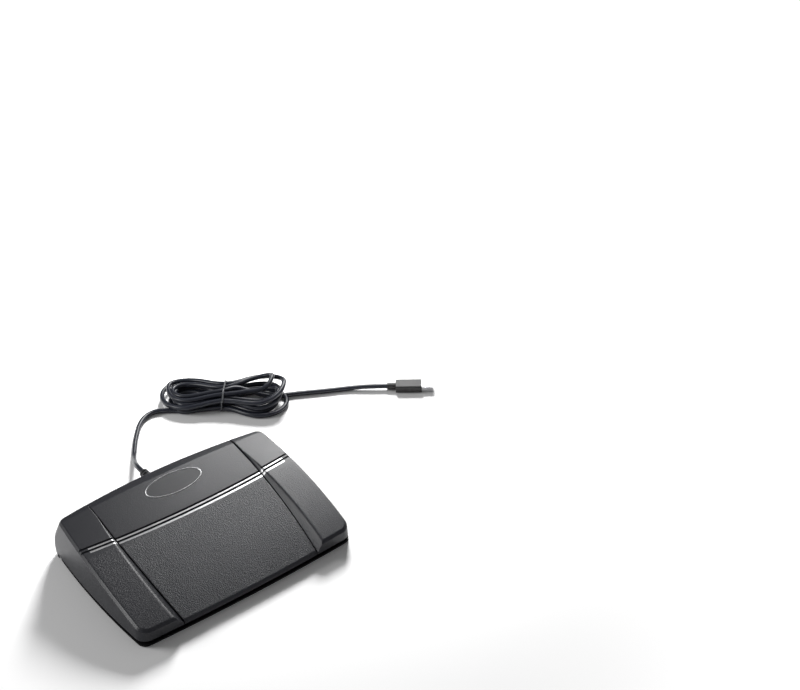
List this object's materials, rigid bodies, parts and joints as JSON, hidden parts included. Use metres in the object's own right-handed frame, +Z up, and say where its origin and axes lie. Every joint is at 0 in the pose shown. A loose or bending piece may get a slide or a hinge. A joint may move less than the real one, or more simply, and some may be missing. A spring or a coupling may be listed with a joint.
{
  "type": "foot pedal switch",
  "caption": "Low wedge-shaped foot pedal switch: side-by-side sprung treadles hinged near the heel over a flat base, with a tied cable and a plug.",
  "frame": {"origin": "on the floor under the middle of the pedal", "axes": "+X to the right, +Y from the toe edge to the heel where the cable leaves, +Z up"},
  "size_m": [0.4377, 0.3136, 0.0457],
  "materials": {
    "treadle_plastic": "grained satin",
    "base_steel": "black powder coat",
    "foot_rubber": "matte",
    "nylon": "natural nylon",
    "badge_plastic": "fine satin",
    "board_laminate": "solder mask",
    "black_plastic": "moulded",
    "connector_plastic": "moulded",
    "button_plastic": "moulded",
    "can_metal": "bright",
    "cord_sheath": "glossy",
    "relief_rubber": "satin",
    "tie_plastic": "satin",
    "plug_plastic": "fine grain",
    "plug_metal": "nickel",
    "contact_metal": "gold plated",
    "zinc_steel": "zinc plated",
    "bright_steel": "plated",
    "spring_steel": "spring wire"
  },
  "bodies": {
    "base": {"base_plate": "base_steel", "rubber_feet": "foot_rubber", "stand_bushes": "nylon", "bump_stops": "foot_rubber", "spring_seats": "nylon", "circuit_board": "board_laminate", "board_standoffs": "nylon", "controller_chip": "black_plastic", "cable_connector": "connector_plastic", "board_parts": "can_metal", "cord_clamp": "black_plastic", "inner_cord": "cord_sheath", "strain_relief": "relief_rubber", "cord_hank": "cord_sheath", "hank_tie": "tie_plastic", "cord_run": "cord_sheath", "cord_tail": "cord_sheath", "plug_body": "plug_plastic", "plug_shell": "plug_metal", "plug_tongue": "black_plastic", "plug_contacts": "contact_metal", "left_outer_stand": "zinc_steel", "left_inner_stand": "zinc_steel", "right_inner_stand": "zinc_steel", "right_outer_stand": "zinc_steel", "treadle_keepers": "zinc_steel", "relief_bracket": "zinc_steel", "hinge_shaft": "bright_steel", "shaft_clips": "bright_steel", "stand_screws": "bright_steel", "keeper_screws": "bright_steel", "board_screws": "bright_steel", "bracket_screws": "bright_steel", "clamp_screws": "bright_steel", "left_spring": "spring_steel", "centre_left_spring": "spring_steel", "centre_right_spring": "spring_steel", "right_spring": "spring_steel", "left_switch": "black_plastic", "centre_switch": "black_plastic", "right_switch": "black_plastic"},
    "left_pedal": {"left_treadle": "treadle_plastic"},
    "left_button": {"left_switch_button": "button_plastic"},
    "centre_pedal": {"centre_treadle": "treadle_plastic", "oval_badge": "badge_plastic"},
    "centre_button": {"centre_switch_button": "button_plastic"},
    "right_pedal": {"right_treadle": "treadle_plastic"},
    "right_button": {"right_switch_button": "button_plastic"}
  },
  "joints": [
    {"name": "left_press", "type": "hinge", "parent": "base", "child": "left_pedal", "pos_m": [0, 0.046, 0.022], "axis": [1, 0, 0], "range_deg": [0, 1.4], "stiffness_Nm_per_rad": 7, "springref_deg": -1.4, "deforming": ["left_spring"]},
    {"name": "centre_press", "type": "hinge", "parent": "base", "child": "centre_pedal", "pos_m": [0, 0.046, 0.022], "axis": [1, 0, 0], "range_deg": [0, 1.4], "stiffness_Nm_per_rad": 14, "springref_deg": -1.4, "deforming": ["centre_left_spring", "centre_right_spring"]},
    {"name": "right_press", "type": "hinge", "parent": "base", "child": "right_pedal", "pos_m": [0, 0.046, 0.022], "axis": [1, 0, 0], "range_deg": [0, 1.4], "stiffness_Nm_per_rad": 7, "springref_deg": -1.4, "deforming": ["right_spring"]},
    {"name": "left_button_slide", "type": "slide", "parent": "base", "child": "left_button", "axis": [0, 0, -1], "range_m": [0, 0.00095]},
    {"name": "centre_button_slide", "type": "slide", "parent": "base", "child": "centre_button", "axis": [0, 0, -1], "range_m": [0, 0.00095]},
    {"name": "right_button_slide", "type": "slide", "parent": "base", "child": "right_button", "axis": [0, 0, -1], "range_m": [0, 0.00095]}
  ],
  "couplings": [
    {"joint": "left_button_slide", "follows": "left_press", "m_per_rad": 0.038},
    {"joint": "centre_button_slide", "follows": "centre_press", "m_per_rad": 0.038},
    {"joint": "right_button_slide", "follows": "right_press", "m_per_rad": 0.038}
  ]
}
